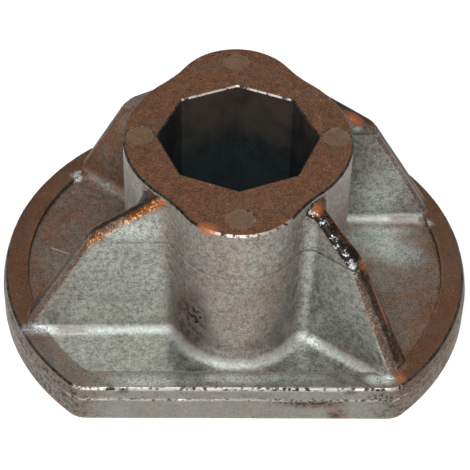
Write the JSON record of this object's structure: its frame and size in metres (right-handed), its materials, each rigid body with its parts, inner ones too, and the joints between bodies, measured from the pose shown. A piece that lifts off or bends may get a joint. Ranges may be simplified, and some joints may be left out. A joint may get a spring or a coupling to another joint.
{
  "type": "mower blade adapter",
  "caption": "Die-cast blade adapter: a flat-sided round flange with a lobed hub, slanted ribs and a through octagonal shaft socket.",
  "frame": {"origin": "centre of the flange's underside, on the axis of the shaft socket", "axes": "+Z along the shaft axis from the flange up to the hub's end, +X along the flange's long direction, with the flats facing +Y and -Y"},
  "size_m": [0.0832, 0.0634, 0.0356],
  "materials": {
    "cast_aluminium": "as-cast, stained brown on the top faces"
  },
  "bodies": {
    "root": {"adapter_casting": "cast_aluminium"}
  },
  "joints": []
}
